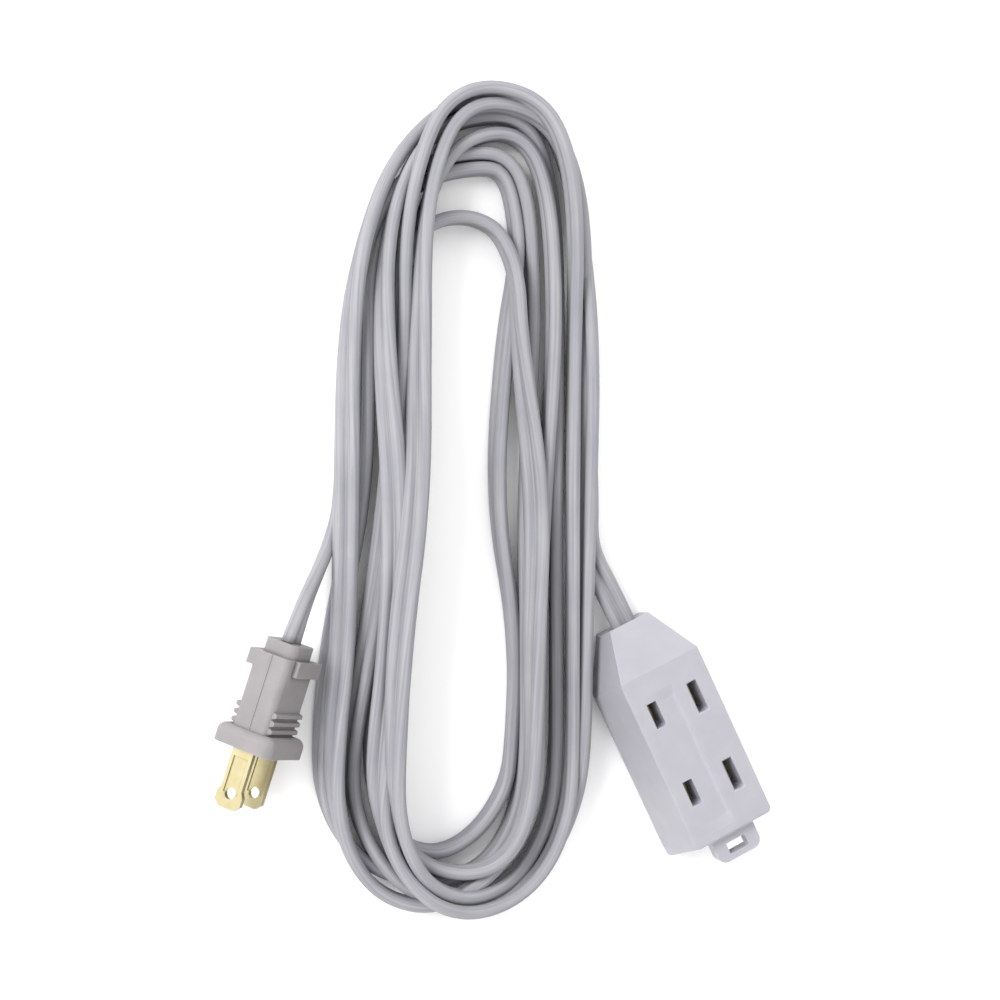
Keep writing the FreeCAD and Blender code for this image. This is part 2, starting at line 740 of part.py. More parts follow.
def tangent_path(points):
    """Straight runs joined by arcs as large as their two runs allow; prints each radius."""
    share = 0.45
    edges = []
    start = points[0]
    for before, corner, after in zip(points, points[1:], points[2:]):
        back = (before - corner).normalize()
        ahead = (after - corner).normalize()
        half_turn = (math.pi - back.getAngle(ahead)) / 2
        reach = share * min((before - corner).Length, (after - corner).Length)
        radius = reach / math.tan(half_turn)
        arc_start = corner + back * reach
        arc_end = corner + ahead * reach
        inward = (back + ahead).normalize()
        depth = radius / math.cos(half_turn) - radius
        edges.append(Part.LineSegment(start, arc_start).toShape())
        edges.append(Part.Arc(arc_start, corner + inward * depth, arc_end).toShape())
        print("  arc radius %.1f mm" % radius)
        start = arc_end
    edges.append(Part.LineSegment(start, points[-1]).toShape())
    return Part.Wire(edges)


def flat_section(start, along, wide):
    """The cord's section: a stadium, its long side along the wide direction."""
    width = size("dims.cord_width")
    thickness = size("dims.cord_thickness")
    wide = (wide - along * wide.dot(along)).normalize()
    up = along.cross(wide)
    radius = thickness / 2
    reach = width / 2 - radius
    corners = [start + wide * (sx * reach) + up * (sy * radius)
               for sx, sy in ((-1, -1), (1, -1), (1, 1), (-1, 1))]
    right = start + wide * (reach + radius)
    left = start - wide * (reach + radius)
    edges = [Part.LineSegment(corners[0], corners[1]).toShape(),
             Part.Arc(corners[1], right, corners[2]).toShape(),
             Part.LineSegment(corners[2], corners[3]).toShape(),
             Part.Arc(corners[3], left, corners[0]).toShape()]
    return Part.Wire(edges)


def first_run(frame, start_y, length, direction):
    """The two ends of a run along a fitting's Y axis."""
    start = frame.multVec(MM(0, start_y, 0))
    return [start, start + frame.Rotation.multVec(MM(0, direction, 0)) * length]


def cord_tail(name, points, wide):
    """One uncoiled stretch of flat cord, checked against its section times its length."""
    points = [MM(*point) for point in points]
    path = tangent_path(points)
    along = (points[1] - points[0]).normalize()
    section = flat_section(points[0], along, wide)
    solid = path.makePipeShell([section], True, False)
    expected = Part.Face(section).Area * path.Length
    print("%s: length %.1f mm, volume %.0f of %.0f mm3"
          % (name, path.Length, solid.Volume, expected))
    tail = doc.addObject("Part::Feature", name)
    tail.Shape = solid
    tail.Placement = FreeCAD.Placement()
    tail.Label = name
    return tail


def closed_curve(points):
    curve = Part.BSplineCurve()
    curve.interpolate([MM(x, y, 0) for x, y in points], PeriodicFlag=True)
    return Part.Wire([curve.toShape()])


def cord_coil():
    """The coil's outer shape: an upright ring between its two outlines."""
    outer = Part.Face(closed_curve(COIL_OUTER))
    hole = Part.Face(closed_curve(COIL_INNER))
    ring = outer.cut(hole)
    coil = doc.addObject("Part::Feature", "cord_coil")
    coil.Shape = ring.extrude(MM(0, 0, size("dims.coil_height")))
    coil.Placement = FreeCAD.Placement()
    coil.Label = "cord_coil"
    return coil


def write_parts(parts):
    """Stops at anything broken, then writes each sub-part to its own file."""
    doc.recompute()
    for item in doc.Objects:
        if "Invalid" in item.State or "Error" in item.State:
            raise RuntimeError("failed feature " + item.Name)
    for part in parts:
        if part.Shape.isNull() or not part.Shape.isValid():
            raise RuntimeError("bad shape " + part.Label)
    os.makedirs("parts", exist_ok=True)
    for part in parts:
        part.Shape.exportStep("parts/%s.step" % part.Label)
        box = part.Shape.BoundBox
        print("%-34s solids %d volume %9.1f  z %.2f to %.2f"
              % (part.Label, len(part.Shape.Solids), part.Shape.Volume, box.ZMin, box.ZMax))


def main():
    fill_sheet()
    connector = connector_frame()
    plug_place = plug_frame()
    parts = [connector_front_shell(connector), connector_back_shell(connector)]
    parts += [contact_strip("neutral", 1, connector), contact_strip("hot", -1, connector)]
    parts += connector_leads(connector)
    parts += plug(plug_place)
    blade_line = plug_place.Rotation.multVec(MM(1, 0, 0))
    collar_end = -size("dims.flange_length + dims.body_length + dims.collar_length")
    run = first_run(plug_place, collar_end, size("dims.plug_first_run"), -1)
    parts.append(cord_tail("cord_plug_tail", run + PLUG_TAIL, blade_line))
    level_line = connector.Rotation.multVec(MM(1, 0, 0))
    seam = FreeCAD.Placement(MM(0, 0, size("dims.seam_height")), connector.Rotation)
    clamped = size("dims.seam_neck_end - dims.neck_wall")
    run = first_run(seam, clamped, size("dims.connector_first_run"), 1)
    parts.append(cord_tail("cord_connector_tail", run + CONNECTOR_TAIL, level_line))
    parts.append(cord_coil())
    write_parts(parts)


main()
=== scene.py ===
import bpy
import bmesh
import math
import numpy as np
from mathutils import Matrix, Vector


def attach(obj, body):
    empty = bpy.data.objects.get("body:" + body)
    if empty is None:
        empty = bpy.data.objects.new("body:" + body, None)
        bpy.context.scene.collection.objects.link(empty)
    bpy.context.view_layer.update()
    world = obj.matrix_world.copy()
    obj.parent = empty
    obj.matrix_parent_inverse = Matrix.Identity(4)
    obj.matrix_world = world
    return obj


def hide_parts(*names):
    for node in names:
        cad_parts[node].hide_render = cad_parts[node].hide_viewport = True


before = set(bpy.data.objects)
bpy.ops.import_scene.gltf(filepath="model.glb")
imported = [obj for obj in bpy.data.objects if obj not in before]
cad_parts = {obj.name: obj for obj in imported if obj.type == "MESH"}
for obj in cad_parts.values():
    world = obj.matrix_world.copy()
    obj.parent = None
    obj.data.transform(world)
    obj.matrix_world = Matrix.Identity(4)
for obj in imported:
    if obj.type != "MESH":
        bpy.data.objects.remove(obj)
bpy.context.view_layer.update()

MM = 0.001

# ---- camera: looks down on the coil's middle, from a little to its left ----

VIEW_TARGET = Vector((-47.2, 62.1, 0.0)) * MM
VIEW_DISTANCE = 600.0 * MM
VIEW_SIDE_SHIFT = -150.0 * MM
SENSOR_WIDTH = 36.0
LENS = 77.8


def make_camera():
    """The camera over the coil, with the coil's long axis upright in its frame."""
    height = math.sqrt(VIEW_DISTANCE ** 2 - VIEW_SIDE_SHIFT ** 2)
    offset = Vector((VIEW_SIDE_SHIFT, 0.0, height))
    back = offset.normalized()
    right = Vector((0.0, 1.0, 0.0)).cross(back).normalized()
    up = back.cross(right)
    turn = Matrix((right, up, back)).transposed().to_4x4()
    data = bpy.data.cameras.new("camera")
    data.lens = LENS
    data.sensor_width = SENSOR_WIDTH
    camera = bpy.data.objects.new("camera", data)
    camera.matrix_world = Matrix.Translation(VIEW_TARGET + offset) @ turn
    bpy.context.scene.collection.objects.link(camera)
    bpy.context.scene.camera = camera


make_camera()

# ---- cord: its route, in millimetres ----

CORD_WIDTH = 7.2
CORD_THICKNESS = 3.6
# A lobe's radius, and how far its middle is from the cord's.
LOBE = CORD_THICKNESS / 2
LOBE_REACH = (CORD_WIDTH - CORD_THICKNESS) / 2

# Heights along Y at which every leg of the coil is placed, from its top end to its bottom end.
LEG_Y = (105.0, 62.0, 24.5, -8.5)

# Each turn of the coil, in the order that the cord runs from the plug: its left leg, going up,
# with X at each leg height from the bottom; its crown; its right leg, going down, with X at each
# leg height from the top; its foot. Each has a layer, low ones under high ones. Tilts are in the
# order of the X values: 0 lies flat, -90 and 90 stand on edge, and past 90 the cord has rolled
# over. The first turn's left leg starts, and the last one's right leg ends, at a tail of cord.
TURNS = [
    dict(left=(-91.0, -89.5), left_tilt=(30, -30), left_layer=0,
         crown=(-53.0, 158.0), crown_layer=1,
         right=(-38.5, -41.5, -42.0, -41.8), right_tilt=(-85, -80, -80, -80), right_layer=2,
         foot=(-66.5, -42.5), foot_layer=0, foot_shoulders=(0.88, 0.92)),
    dict(left=(-98.5, -95.5, -87.5, -87.0), left_tilt=(-70, -60, -50, -60), left_layer=3,
         crown=(-51.5, 154.0), crown_layer=0, crown_end=-42.5,
         right=(-47.0, -50.0, -43.5, -45.0), right_tilt=(-110, -100, -85, -80), right_layer=1,
         foot=(-66.5, -34.5), foot_layer=1, foot_shoulders=(1.15, 0.92)),
    dict(left=(-84.0, -81.5, -78.0, -78.5), left_tilt=(-60, -45, -40, -60), left_layer=1,
         crown=(-59.5, 140.0), crown_layer=5,
         right=(-44.0, -39.0, -41.5, -41.5), right_tilt=(-100, -160, -120, -90), right_layer=6,
         foot=(-60.5, -39.5), foot_layer=4),
    dict(left=(-82.3, -80.0, -76.3, -74.0), left_tilt=(-60, -45, -40, -60), left_layer=2,
         crown=(-48.5, 163.5), crown_layer=4,
         right=(-34.0, -36.0, -37.0, -37.0), right_tilt=(-90, -85, -80, -80), right_layer=4,
         foot=(-70.0, -48.5), foot_layer=3, foot_shoulders=(1.15, 0.92)),
    dict(left=(-96.0, -93.0, -92.5, -92.0), left_tilt=(-65, -25, -20, -50), left_layer=8,
         crown=(-51.5, 174.0), crown_layer=3, crown_shoulders=(1.05, 0.7),
         right=(-24.0, -24.0, -24.5, -25.5), right_tilt=(-105, -100, -95, -90), right_layer=7,
         foot=(-58.5, -48.5), foot_layer=2),
    dict(left=(-90.5, -86.0, -81.0, -78.0), left_tilt=(-75, -55, -40, -65), left_layer=4,
         crown=(-53.5, 175.0), crown_layer=8,
         right=(-28.0, -28.5, -28.5, -28.5), right_tilt=(-85, -80, -80, -85), right_layer=5,
         foot=(-58.5, -49.5), foot_layer=8),
    dict(left=(-85.0, -81.0, -80.5, -83.5), left_tilt=(-15, -15, -20, -60), left_layer=6,
         crown=(-49.0, 168.5), crown_layer=2,
         right=(-31.5, -32.0, -32.0, -32.0), right_tilt=(-80, -75, -80, -85), right_layer=3,
         foot=(-58.5, -46.0), foot_layer=7),
    dict(left=(-81.2, -80.0, -75.2, -73.3), left_tilt=(-70, -25, -20, -50), left_layer=7,
         crown=(-51.5, 171.0), crown_layer=7,
         right=(-24.5, -23.0), right_tilt=(-110, -150), right_layer=0,
         foot=None, foot_layer=0),
]
BEND_TILT = -92.0
BEND_ANGLES = (22.0, 45.0, 67.0)
# How square a bend is on its way in and on its way out: 1 is an ellipse, and less is squarer.
CROWN_SHOULDERS = (0.82, 0.7)
FOOT_SHOULDERS = (0.92, 0.92)

# The uncoiled ends: from the plug's collar down to the floor under the coil's left edge, and
# from the coil's right edge into the connector's neck. The point and the tilt at each fitting
# are the fitting's own.
PLUG_TAIL = [(-108.03, 24.5, 14.88), (-105.1, 33.56, 15.3), (-99.9, 43.2, 10.3),
             (-95.2, 52.2, 4.4)]
CONNECTOR_TAIL = [(-24.0, 48.6, 4.8), (-17.28, 36.07, 6.0), (-11.67, 24.35, 6.0)]
PLUG_TILTS = (52.5, 66.0, 78.0, 74.0)
CONNECTOR_TILT = -180.0

POLES = ("neutral", "hot")
PLUG_PIECES = ["plug_overmould", "plug_blade_carrier"]
PLUG_PIECES += ["plug_%s_%s" % (part, pole) for pole in POLES
                for part in ("blade", "lead_copper", "lead_insulation")]


def bend(side_x, side_y, crown, squareness):
    """Points from a leg's end round to a crown or foot, on a quarter of a superellipse."""
    points = []
    for angle in BEND_ANGLES:
        across = math.cos(math.radians(angle)) ** squareness
        along = math.sin(math.radians(angle)) ** squareness
        points.append((crown[0] + (side_x - crown[0]) * across,
                       side_y + (crown[1] - side_y) * along))
    return points


def whole_bend(start, crown, end, shoulders):
    """A bend from one leg's end to the next one's, over its crown or round its foot."""
    way_in = bend(*start, crown, shoulders[0])
    way_out = bend(*end, crown, shoulders[1])
    return way_in + [crown] + way_out[::-1]


def turn_points(turn, following):
    """One turn's points as (x, y, layer, tilt)."""
    left = list(zip(turn["left"], LEG_Y[::-1][-len(turn["left"]):]))
    right = list(zip(turn["right"], LEG_Y))
    crown_end = (turn.get("crown_end", right[0][0]), right[0][1])
    crown_shoulders = turn.get("crown_shoulders", CROWN_SHOULDERS)
    crown = whole_bend(left[-1], turn["crown"], crown_end, crown_shoulders)
    parts = [(left, turn["left_layer"], turn["left_tilt"]),
             (crown, turn["crown_layer"], [BEND_TILT] * len(crown)),
             (right, turn["right_layer"], turn["right_tilt"])]
    if following:
        start_next = (following["left"][0], LEG_Y[-1])
        foot_shoulders = turn.get("foot_shoulders", FOOT_SHOULDERS)
        foot = whole_bend(right[-1], turn["foot"], start_next, foot_shoulders)
        parts.append((foot, turn["foot_layer"], [BEND_TILT] * len(foot)))
    return [(x, y, layer, tilt) for points, layer, tilts in parts
            for (x, y), tilt in zip(points, tilts)]


def coil_points():
    """Every turn's points, in the order that the cord runs."""
    points = []
    for turn, following in zip(TURNS, TURNS[1:] + [None]):
        points += turn_points(turn, following)
    return np.array(points)


SPLINE_ORDER = 3
SPLINE_STEPS = 12


def read_spline(points):
    """Points read from the smooth line whose control points are given, in their own units."""
    curve = bpy.data.curves.new("route", "CURVE")
    curve.dimensions = "3D"
    curve.resolution_u = SPLINE_STEPS
    spline = curve.splines.new("NURBS")
    spline.points.add(len(points) - 1)
    for control, point in zip(spline.points, points):
        control.co = (*(float(value) * MM for value in point), 1.0)
    spline.order_u = SPLINE_ORDER
    spline.use_endpoint_u = True
    holder = bpy.data.objects.new("route", curve)
    bpy.context.scene.collection.objects.link(holder)
    bpy.context.view_layer.update()
    mesh = bpy.data.meshes.new_from_object(holder)
    line = np.array([vertex.co[:] for vertex in mesh.vertices]) / MM
    bpy.data.objects.remove(holder)
    bpy.data.meshes.remove(mesh)
    bpy.data.curves.remove(curve)
    return line


def lengths_along(line):
    """How far along the line each of its points is."""
    steps = np.linalg.norm(np.diff(line, axis=0), axis=1)
    return np.concatenate([[0.0], np.cumsum(steps)])


def smooth(values, reach):
    """A moving average with a soft window."""
    window = np.hanning(2 * reach + 3)[1:-1]
    padded = np.pad(values, reach, mode="edge")
    return np.convolve(padded, window / window.sum(), mode="valid")


# Settling reads the coil's line at even steps and smooths over a number of them each way. Cord
# rests on cord that is further along than one stretch and lower by more than a gap in layers,
# where a crossing's share of the full lift is more than a touch.
SETTLE_STEP = 3.0
SETTLE_REACH = 6
SAME_STRETCH = 60.0
LAYER_GAP = 0.3
TOUCH_SHARE = 0.05
FLOOR_ROOM = 0.15


def half_sizes(tilts):
    """Half the cord's width and height as it lies at a tilt, with a little room under it."""
    tilt = np.radians(tilts)
    return (LOBE + LOBE_REACH * np.abs(np.cos(tilt)),
            LOBE + LOBE_REACH * np.abs(np.sin(tilt)) + FLOOR_ROOM)


def settle(plan, layers, tilts):
    """Heights of the coil's line: each stretch rests on the floor or on the layers under it."""
    half_wide, half_high = half_sizes(tilts)
    heights = half_high.copy()
    order = np.argsort(layers, kind="stable")
    for rank, index in enumerate(order):
        under = order[:rank]
        under = under[np.abs(under - index) * SETTLE_STEP > SAME_STRETCH]
        under = under[layers[under] < layers[index] - LAYER_GAP]
        gap = np.linalg.norm(plan[under] - plan[index], axis=1)
        share = 1.0 - (gap / (half_wide[under] + half_wide[index])) ** 2
        touching = share > TOUCH_SHARE
        if touching.any():
            under = under[touching]
            lift = np.sqrt(share[touching]) * (half_high[under] + half_high[index])
            heights[index] = max(heights[index], (heights[under] + lift).max())
    return np.maximum(smooth(heights, SETTLE_REACH), half_high)


def control_samples(control_count, sample_count):
    """Where each control point's own stretch of a quadratic line is, as sample numbers."""
    middles = np.arange(control_count) - 0.5
    middles[0] = 0.0
    middles[-1] = control_count - 2
    return middles / (control_count - 2) * (sample_count - 1)


def cord_controls():
    """Control points of the whole cord from plug to connector, with the tilt at each."""
    points = coil_points()
    flat = read_spline(np.column_stack([points[:, :2], np.zeros(len(points))]))
    laid = read_spline(np.column_stack([points[:, 2:], np.zeros(len(points))]))
    along = lengths_along(flat)
    even = np.arange(0.0, along[-1], SETTLE_STEP)
    plan = np.column_stack([np.interp(even, along, flat[:, i]) for i in range(2)])
    layers, tilts = (np.interp(even, along, laid[:, i]) for i in range(2))
    heights = settle(plan, layers, tilts)
    samples = control_samples(len(points), len(flat))
    at = np.interp(samples, np.arange(len(flat)), along)
    coil = np.column_stack([points[:, :2], np.interp(at, even, heights)])
    controls = np.vstack([PLUG_TAIL, coil, CONNECTOR_TAIL])
    connector_tilts = np.linspace(points[-1, 3], CONNECTOR_TILT, len(CONNECTOR_TAIL))
    return controls, np.concatenate([PLUG_TILTS, points[:, 3], connector_tilts])


RING_STEP = 2.0


def cord_line():
    """Evenly spaced points read from the cord's line, from the connector on, with tilts."""
    controls, tilts = cord_controls()
    line = read_spline(controls)
    blank = np.zeros(len(tilts))
    tilt_line = read_spline(np.column_stack([tilts, blank, blank]))[:, 0]
    along = lengths_along(line)
    even = np.linspace(0.0, along[-1], int(along[-1] / RING_STEP) + 1)
    rings = np.column_stack([np.interp(even, along, line[:, i]) for i in range(3)])
    return rings[::-1], np.interp(even, along, tilt_line)[::-1]


# ---- cord: its section and mesh ----

GROOVE_DEPTH = 1.05
WEB_ANGLE = 34.0
LOBE_STEPS = 18
RIB_HEIGHT = 0.12
RIB_SPREAD = 62.0


def cord_section():
    """The figure-eight outline: a plain lobe, a finely ribbed lobe and a groove each side."""
    outline = []
    reach = 180.0 - WEB_ANGLE
    for side in (1, -1):
        for angle in np.linspace(-reach, reach, LOBE_STEPS + 1):
            radius = LOBE
            ribbed = side < 0 and abs(angle) < RIB_SPREAD
            if ribbed and int(round((angle + reach) / (2 * reach) * LOBE_STEPS)) % 2:
                radius -= RIB_HEIGHT
            turn = math.radians(angle)
            outline.append((side * (LOBE_REACH + radius * math.cos(turn)),
                            side * radius * math.sin(turn)))
        outline.append((0.0, side * (LOBE - GROOVE_DEPTH)))
    return np.array(outline)


def mesh_object(name, vertices, faces):
    """A smooth-shaded object in the scene, with its vertices in metres."""
    mesh = bpy.data.meshes.new(name)
    mesh.from_pydata([tuple(vertex) for vertex in vertices], [], faces)
    mesh.validate()
    mesh.shade_smooth()
    piece = bpy.data.objects.new(name, mesh)
    bpy.context.scene.collection.objects.link(piece)
    return piece


def sweep(name, rings, tilts, section):
    """A closed tube of the section along the rings, its wide side turned by the tilts."""
    tangents = np.gradient(rings, axis=0)
    tangents /= np.linalg.norm(tangents, axis=1)[:, None]
    level = np.cross(np.array([0.0, 0.0, 1.0]), -tangents)
    level /= np.linalg.norm(level, axis=1)[:, None]
    upward = np.cross(-tangents, level)
    tilt = np.radians(tilts)[:, None]
    wide = level * np.cos(tilt) + upward * np.sin(tilt)
    thin = upward * np.cos(tilt) - level * np.sin(tilt)
    vertices = (rings[:, None, :] + wide[:, None, :] * section[None, :, 0, None]
                + thin[:, None, :] * section[None, :, 1, None])
    count = len(section)
    faces = []
    for ring in range(len(rings) - 1):
        first, second = ring * count, (ring + 1) * count
        for i in range(count):
            j = (i + 1) % count
            faces.append((first + i, first + j, second + j, second + i))
    faces.append(tuple(range(count))[::-1])
    last = (len(rings) - 1) * count
    faces.append(tuple(range(last, last + count)))
    return mesh_object(name, vertices.reshape(-1, 3) * MM, faces)


CORD_UV = "around_and_along"


def map_cord(piece, rings, section):
    """UVs in millimetres: U round the section from its first point, V along the cord."""
    closed = np.vstack([section, section[:1]])
    around = lengths_along(closed)
    along = lengths_along(rings)
    count = len(section)
    layer = piece.data.uv_layers.new(name=CORD_UV)
    for face in piece.data.polygons:
        columns = [piece.data.loops[i].vertex_index % count for i in face.loop_indices]
        wraps = len(face.loop_indices) == 4 and max(columns) - min(columns) > 1
        for i, column in zip(face.loop_indices, columns):
            ring = piece.data.loops[i].vertex_index // count
            u = around[count] if wraps and column == 0 else around[column]
            layer.data[i].uv = (u, along[ring])


def make_cord():
    """The whole cord, from the connector's neck through the coil to the plug's collar."""
    rings, tilts = cord_line()
    section = cord_section()
    piece = sweep("flat_cord", rings, tilts, section)
    bm = bmesh.new()
    bm.from_mesh(piece.data)
    bmesh.ops.recalc_face_normals(bm, faces=bm.faces)
    bm.to_mesh(piece.data)
    bm.free()
    map_cord(piece, rings, section)
    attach(piece, "root")
    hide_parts("cord_coil", "cord_plug_tail", "cord_connector_tail")


make_cord()

# ---- materials: grain sizes and depths in millimetres, colours in linear light ----

CONNECTOR_WHITE = (0.355, 0.35, 0.38)
CONNECTOR_SHADE = (0.33, 0.325, 0.36)
# Painted bounce light, lighter than the body: light that bounces in the deep slots comes back
# too dark without it.
CONNECTOR_PAINTED_BOUNCE_LIGHT = (0.66, 0.63, 0.80)
PLUG_WHITE = (0.255, 0.241, 0.243)
PLUG_SHADE = (0.228, 0.215, 0.218)
# Painted shade, darker than the body, laid in the plug's recesses and creases.
PLUG_PAINTED_SHADE = (0.14, 0.13, 0.135)
CORD_WHITE = (0.305, 0.305, 0.315)
CORD_SHADE = (0.26, 0.26, 0.275)
CORD_STREAK = (0.20, 0.20, 0.235)
LEAD_WHITE = (0.30, 0.30, 0.31)
LEAD_LIGHT = (0.31, 0.31, 0.32)
LEAD_SHADE = (0.26, 0.26, 0.28)
COPPER = (0.72, 0.38, 0.22)
COPPER_PINK = (0.78, 0.43, 0.26)
COPPER_BROWN = (0.55, 0.25, 0.14)
NYLON = (0.42, 0.42, 0.40)
NYLON_LIGHT = (0.46, 0.46, 0.43)
NYLON_DARK = (0.36, 0.36, 0.35)
BLADE_YELLOW = (0.42, 0.38, 0.24)
BLADE_TARNISH = (0.35, 0.28, 0.12)
CONTACT_YELLOW = (0.80, 0.66, 0.34)
CONTACT_TARNISH = (0.60, 0.44, 0.20)
FLOOR_WHITE = (0.96, 0.96, 0.96)

SPECULAR_LEVEL = 0.35
SUBSURFACE_WEIGHT = 0.4
SUBSURFACE_RADIUS = (1.0, 0.92, 1.05)
SUBSURFACE_DEPTH = 1.2
RECESS_SAMPLES = 6
# How dark the painted shade in the brass's recesses is, as a share of its tarnish colour.
PAINTED_SHADE_SHARE = 0.55


def new_material(name, colour, roughness, metallic=0.0):
    """A material with its shader and the point on the surface, in millimetres."""
    material = bpy.data.materials.new(name)
    material.use_nodes = True
    nodes, links = material.node_tree.nodes, material.node_tree.links
    shader = nodes["Principled BSDF"]
    shader.inputs["Base Color"].default_value = (*colour, 1.0)
    shader.inputs["Roughness"].default_value = roughness
    shader.inputs["Metallic"].default_value = metallic
    shader.inputs["Specular IOR Level"].default_value = SPECULAR_LEVEL
    place = nodes.new("ShaderNodeTexCoord")
    scale = nodes.new("ShaderNodeVectorMath")
    scale.operation = "SCALE"
    scale.inputs["Scale"].default_value = 1.0 / MM
    links.new(place.outputs["Object"], scale.inputs[0])
    return material, shader, scale.outputs["Vector"]


def add_noise(material, vector, grain_mm, stretch=(1.0, 1.0, 1.0), turn=(0.0, 0.0, 0.0),
              detail=3.0):
    """Noise with grains of a size in millimetres, stretched along its own axes."""
    nodes, links = material.node_tree.nodes, material.node_tree.links
    mapping = nodes.new("ShaderNodeMapping")
    mapping.vector_type = "TEXTURE"
    mapping.inputs["Rotation"].default_value = [math.radians(angle) for angle in turn]
    mapping.inputs["Scale"].default_value = stretch
    noise = nodes.new("ShaderNodeTexNoise")
    noise.inputs["Scale"].default_value = 1.0 / grain_mm
    noise.inputs["Detail"].default_value = detail
    links.new(vector, mapping.inputs["Vector"])
    links.new(mapping.outputs["Vector"], noise.inputs["Vector"])
    return noise.outputs["Fac"]


def spread(material, value, low, high, usual=(0.3, 0.7)):
    """The value, from its usual range, spread from low to high."""
    nodes, links = material.node_tree.nodes, material.node_tree.links
    ranger = nodes.new("ShaderNodeMapRange")
    ranger.inputs["From Min"].default_value = usual[0]
    ranger.inputs["From Max"].default_value = usual[1]
    ranger.inputs["To Min"].default_value = low
    ranger.inputs["To Max"].default_value = high
    links.new(value, ranger.inputs["Value"])
    return ranger.outputs["Result"]


def mix_colour(material, value, first, second):
    """From the first colour at 0 to the second at 1; each is a tuple or an output socket."""
    nodes, links = material.node_tree.nodes, material.node_tree.links
    mix = nodes.new("ShaderNodeMix")
    mix.data_type = "RGBA"
    for socket, colour in ((mix.inputs["A"], first), (mix.inputs["B"], second)):
        if isinstance(colour, tuple):
            socket.default_value = (*colour, 1.0)
        else:
            links.new(colour, socket)
    links.new(value, mix.inputs["Factor"])
    return mix.outputs["Result"]


def add_bump(material, height, depth_mm, normal=None):
    """The surface raised by up to a depth where the height is 1, on top of another bump."""
    nodes, links = material.node_tree.nodes, material.node_tree.links
    bump = nodes.new("ShaderNodeBump")
    bump.inputs["Strength"].default_value = 1.0
    bump.inputs["Distance"].default_value = depth_mm * MM
    links.new(height, bump.inputs["Height"])
    if normal:
        links.new(normal, bump.inputs["Normal"])
    return bump.outputs["Normal"]


def openness(material, reach_mm):
    """From 0 deep in a recess to 1 out in the open: the mask that lays painted light and shade
    in recesses.
    """
    nodes = material.node_tree.nodes
    occlusion = nodes.new("ShaderNodeAmbientOcclusion")
    occlusion.samples = RECESS_SAMPLES
    occlusion.only_local = True
    occlusion.inputs["Distance"].default_value = reach_mm * MM
    return spread(material, occlusion.outputs["AO"], low=0.0, high=1.0, usual=(0.4, 0.95))


def moulded_plastic(name, colours, roughness, grain_mm, grain_depth):
    """Moulded plastic: cloudy colour, painted light and shade in recesses, eroded grain, rubbed
    marks.
    """
    colour, shade, painted_recess_shading = colours
    material, shader, point = new_material(name, colour, roughness)
    links = material.node_tree.links
    shader.inputs["Subsurface Weight"].default_value = SUBSURFACE_WEIGHT
    shader.inputs["Subsurface Radius"].default_value = SUBSURFACE_RADIUS
    shader.inputs["Subsurface Scale"].default_value = SUBSURFACE_DEPTH * MM
    clouds = spread(material, add_noise(material, point, grain_mm=9.0), low=0.0, high=1.0)
    body = mix_colour(material, clouds, colour, shade)
    # Painted light and shade in recesses: the recess colour given goes where the surface is
    # occluded.
    body = mix_colour(material, openness(material, reach_mm=1.2), painted_recess_shading, body)
    links.new(body, shader.inputs["Base Color"])
    rubbed = add_noise(material, point, grain_mm=3.5, detail=5.0)
    links.new(spread(material, rubbed, low=roughness - 0.07, high=roughness + 0.09),
              shader.inputs["Roughness"])
    grain = add_noise(material, point, grain_mm, detail=1.0)
    eroded = add_bump(material, grain, grain_depth)
    waves = add_noise(material, point, grain_mm=6.0, detail=1.0)
    wavy = add_bump(material, waves, depth_mm=0.12, normal=eroded)
    links.new(wavy, shader.inputs["Normal"])
    return material


def cord_jacket():
    """Soft PVC drawn through a die: fine streaks along the cord, clouds and a waxy sheen."""
    material, shader, point = new_material("cord_jacket", CORD_WHITE, roughness=0.58)
    nodes, links = material.node_tree.nodes, material.node_tree.links
    around = nodes.new("ShaderNodeUVMap")
    around.uv_map = CORD_UV
    streaks = add_noise(material, around.outputs["UV"], grain_mm=0.7, stretch=(1.0, 60.0, 1.0))
    clouds = spread(material, add_noise(material, point, grain_mm=14.0), low=0.0, high=1.0)
    body = mix_colour(material, clouds, CORD_WHITE, CORD_SHADE)
    lines = spread(material, streaks, low=0.0, high=0.8, usual=(0.38, 0.66))
    body = mix_colour(material, lines, body, CORD_STREAK)
    links.new(body, shader.inputs["Base Color"])
    links.new(spread(material, streaks, low=0.5, high=0.66), shader.inputs["Roughness"])
    drawn = add_bump(material, streaks, depth_mm=0.07)
    dents = add_noise(material, point, grain_mm=5.0, detail=1.0)
    dented = add_bump(material, dents, depth_mm=0.15, normal=drawn)
    links.new(dented, shader.inputs["Normal"])
    return material


def lead_insulation():
    """The same PVC on a single lead, with the matt bloom of an unrubbed surface."""
    material, shader, point = new_material("lead_insulation", LEAD_WHITE, roughness=0.55)
    links = material.node_tree.links
    bloom = add_noise(material, point, grain_mm=1.5)
    patches = spread(material, bloom, low=0.0, high=1.0)
    links.new(mix_colour(material, patches, LEAD_LIGHT, LEAD_SHADE),
              shader.inputs["Base Color"])
    links.new(spread(material, bloom, low=0.45, high=0.62), shader.inputs["Roughness"])
    links.new(add_bump(material, bloom, depth_mm=0.04), shader.inputs["Normal"])
    return material


